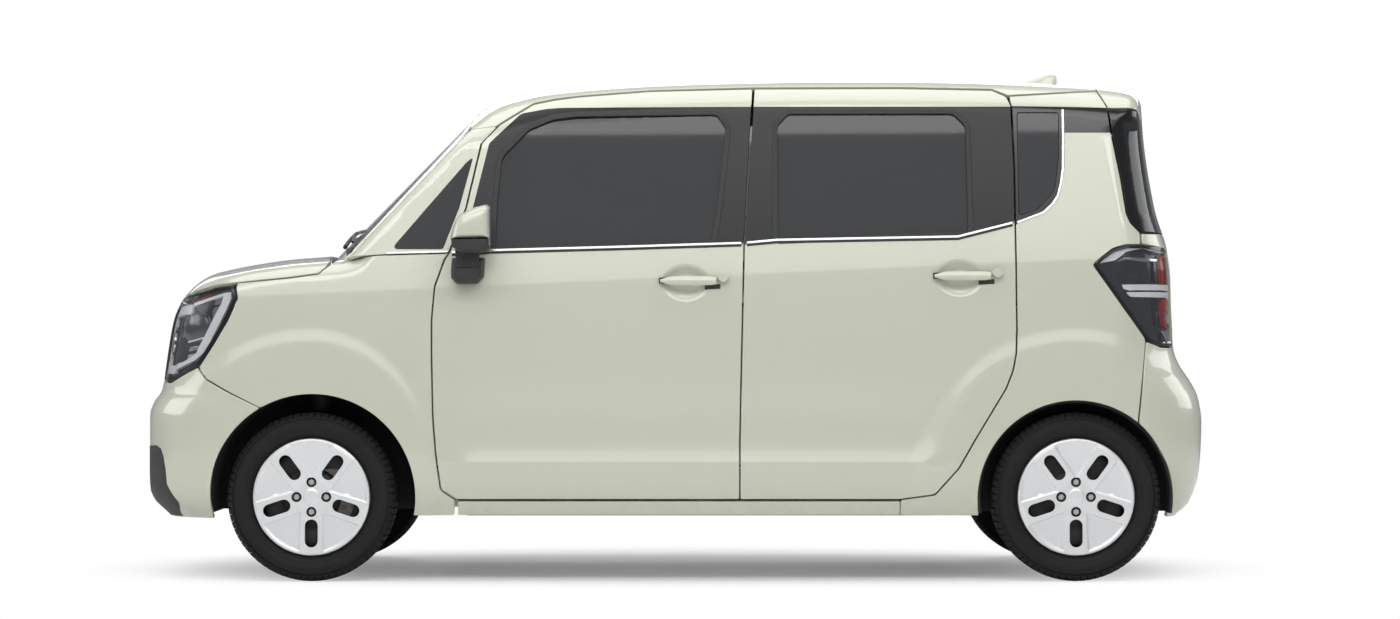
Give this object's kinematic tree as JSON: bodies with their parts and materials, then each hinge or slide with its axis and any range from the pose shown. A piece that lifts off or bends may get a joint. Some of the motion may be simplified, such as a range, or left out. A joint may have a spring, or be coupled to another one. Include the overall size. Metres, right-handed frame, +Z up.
{
  "type": "tall battery-electric city car near kei size",
  "caption": "Tall five-door light city car with opening doors, bonnet and tailgate, steered front wheels and rolling wheels.",
  "frame": {"origin": "on the ground under the middle of the overall length and width", "axes": "+X to the rear along the length, +Y to the right-hand side, +Z up"},
  "size_m": [3.5954, 1.924, 1.718],
  "materials": {
    "paint": "gloss",
    "glass": "gloss",
    "lamp_clear": "gloss",
    "lamp_smoked": "gloss",
    "trim_black": "satin",
    "bumper_paint": "gloss",
    "underbody": "matte",
    "steel": "satin",
    "cast": "matte",
    "cabin_plastic": "matte",
    "cloth": "matte",
    "cover": "gloss",
    "tyre": "matte",
    "aluminium_case": "satin"
  },
  "bodies": {
    "body": {"windscreen_pillars": "paint", "body_side_left": "paint", "body_side_right": "paint", "fender_left": "paint", "fender_right": "paint", "front_bumper": "bumper_paint", "lower_grille": "trim_black", "rear_bumper": "bumper_paint", "headlamps": "lamp_clear", "tail_lamps": "lamp_smoked", "windscreen": "glass", "quarter_glass": "glass", "roof": "paint", "cowl": "trim_black", "floor_pan": "underbody", "battery_pack": "aluminium_case", "drive_unit": "aluminium_case", "dashboard": "cabin_plastic", "front_seats": "cloth", "rear_bench": "cloth", "arch_liners": "trim_black", "rear_axle": "steel", "front_subframe": "steel", "front_struts": "steel"},
    "bonnet": {"bonnet": "paint"},
    "tailgate": {"tailgate": "paint", "tailgate_glass": "glass"},
    "steering_wheel": {"steering_wheel": "cabin_plastic"},
    "door_front_left": {"door_front_left": "paint", "window_front_left": "glass", "sash_front_left": "trim_black", "mirror_left": "trim_black"},
    "door_rear_left": {"door_rear_left": "paint", "window_rear_left": "glass", "sash_rear_left": "trim_black"},
    "steer_left": {"knuckle_front_left": "cast"},
    "wheel_front_left": {"wheel_front_left": "cover", "tyre_front_left": "tyre"},
    "wheel_rear_left": {"wheel_rear_left": "cover", "tyre_rear_left": "tyre"},
    "door_front_right": {"door_front_right": "paint", "window_front_right": "glass", "sash_front_right": "trim_black", "mirror_right": "trim_black"},
    "door_rear_right": {"door_rear_right": "paint", "window_rear_right": "glass", "sash_rear_right": "trim_black"},
    "steer_right": {"knuckle_front_right": "cast"},
    "wheel_front_right": {"wheel_front_right": "cover", "tyre_front_right": "tyre"},
    "wheel_rear_right": {"wheel_rear_right": "cover", "tyre_rear_right": "tyre"}
  },
  "joints": [
    {"name": "door_front_left_hinge", "type": "hinge", "parent": "body", "child": "door_front_left", "pos_m": [-0.778, -0.792, 0.7], "axis": [0, 0, -1], "range_deg": [0, 65]},
    {"name": "door_rear_left_hinge", "type": "hinge", "parent": "body", "child": "door_rear_left", "pos_m": [0.237, -0.787, 0.7], "axis": [0, 0, -1], "range_deg": [0, 65]},
    {"name": "steering_left", "type": "hinge", "parent": "body", "child": "steer_left", "pos_m": [-1.198, -0.628, 0.278], "axis": [0, 0, 1], "range_deg": [-34, 34]},
    {"name": "wheel_front_left_roll", "type": "hinge", "parent": "steer_left", "child": "wheel_front_left", "pos_m": [-1.198, -0.703, 0.278], "axis": [0, 1, 0], "continuous": true},
    {"name": "wheel_rear_left_roll", "type": "hinge", "parent": "body", "child": "wheel_rear_left", "pos_m": [1.322, -0.703, 0.278], "axis": [0, 1, 0], "continuous": true},
    {"name": "door_front_right_hinge", "type": "hinge", "parent": "body", "child": "door_front_right", "pos_m": [-0.778, 0.792, 0.7], "axis": [0, 0, 1], "range_deg": [0, 65]},
    {"name": "door_rear_right_hinge", "type": "hinge", "parent": "body", "child": "door_rear_right", "pos_m": [0.237, 0.787, 0.7], "axis": [0, 0, 1], "range_deg": [0, 65]},
    {"name": "steering_right", "type": "hinge", "parent": "body", "child": "steer_right", "pos_m": [-1.198, 0.628, 0.278], "axis": [0, 0, 1], "range_deg": [-34, 34]},
    {"name": "wheel_front_right_roll", "type": "hinge", "parent": "steer_right", "child": "wheel_front_right", "pos_m": [-1.198, 0.703, 0.278], "axis": [0, 1, 0], "continuous": true},
    {"name": "wheel_rear_right_roll", "type": "hinge", "parent": "body", "child": "wheel_rear_right", "pos_m": [1.322, 0.703, 0.278], "axis": [0, 1, 0], "continuous": true},
    {"name": "bonnet_hinge", "type": "hinge", "parent": "body", "child": "bonnet", "pos_m": [-1.118, 0, 1.035], "axis": [0, 1, 0], "range_deg": [0, 50]},
    {"name": "tailgate_hinge", "type": "hinge", "parent": "body", "child": "tailgate", "pos_m": [1.402, 0, 1.676], "axis": [0, -1, 0], "range_deg": [0, 80]},
    {"name": "steering_wheel_turn", "type": "hinge", "parent": "body", "child": "steering_wheel", "pos_m": [-0.48, 0.345, 0.96], "axis": [0.8832, 0, 0.4691], "range_deg": [-545, 545]}
  ],
  "couplings": [
    {"joint": "steering_right", "follows": "steering_left", "ratio": 1},
    {"joint": "steering_wheel_turn", "follows": "steering_left", "ratio": 16}
  ]
}
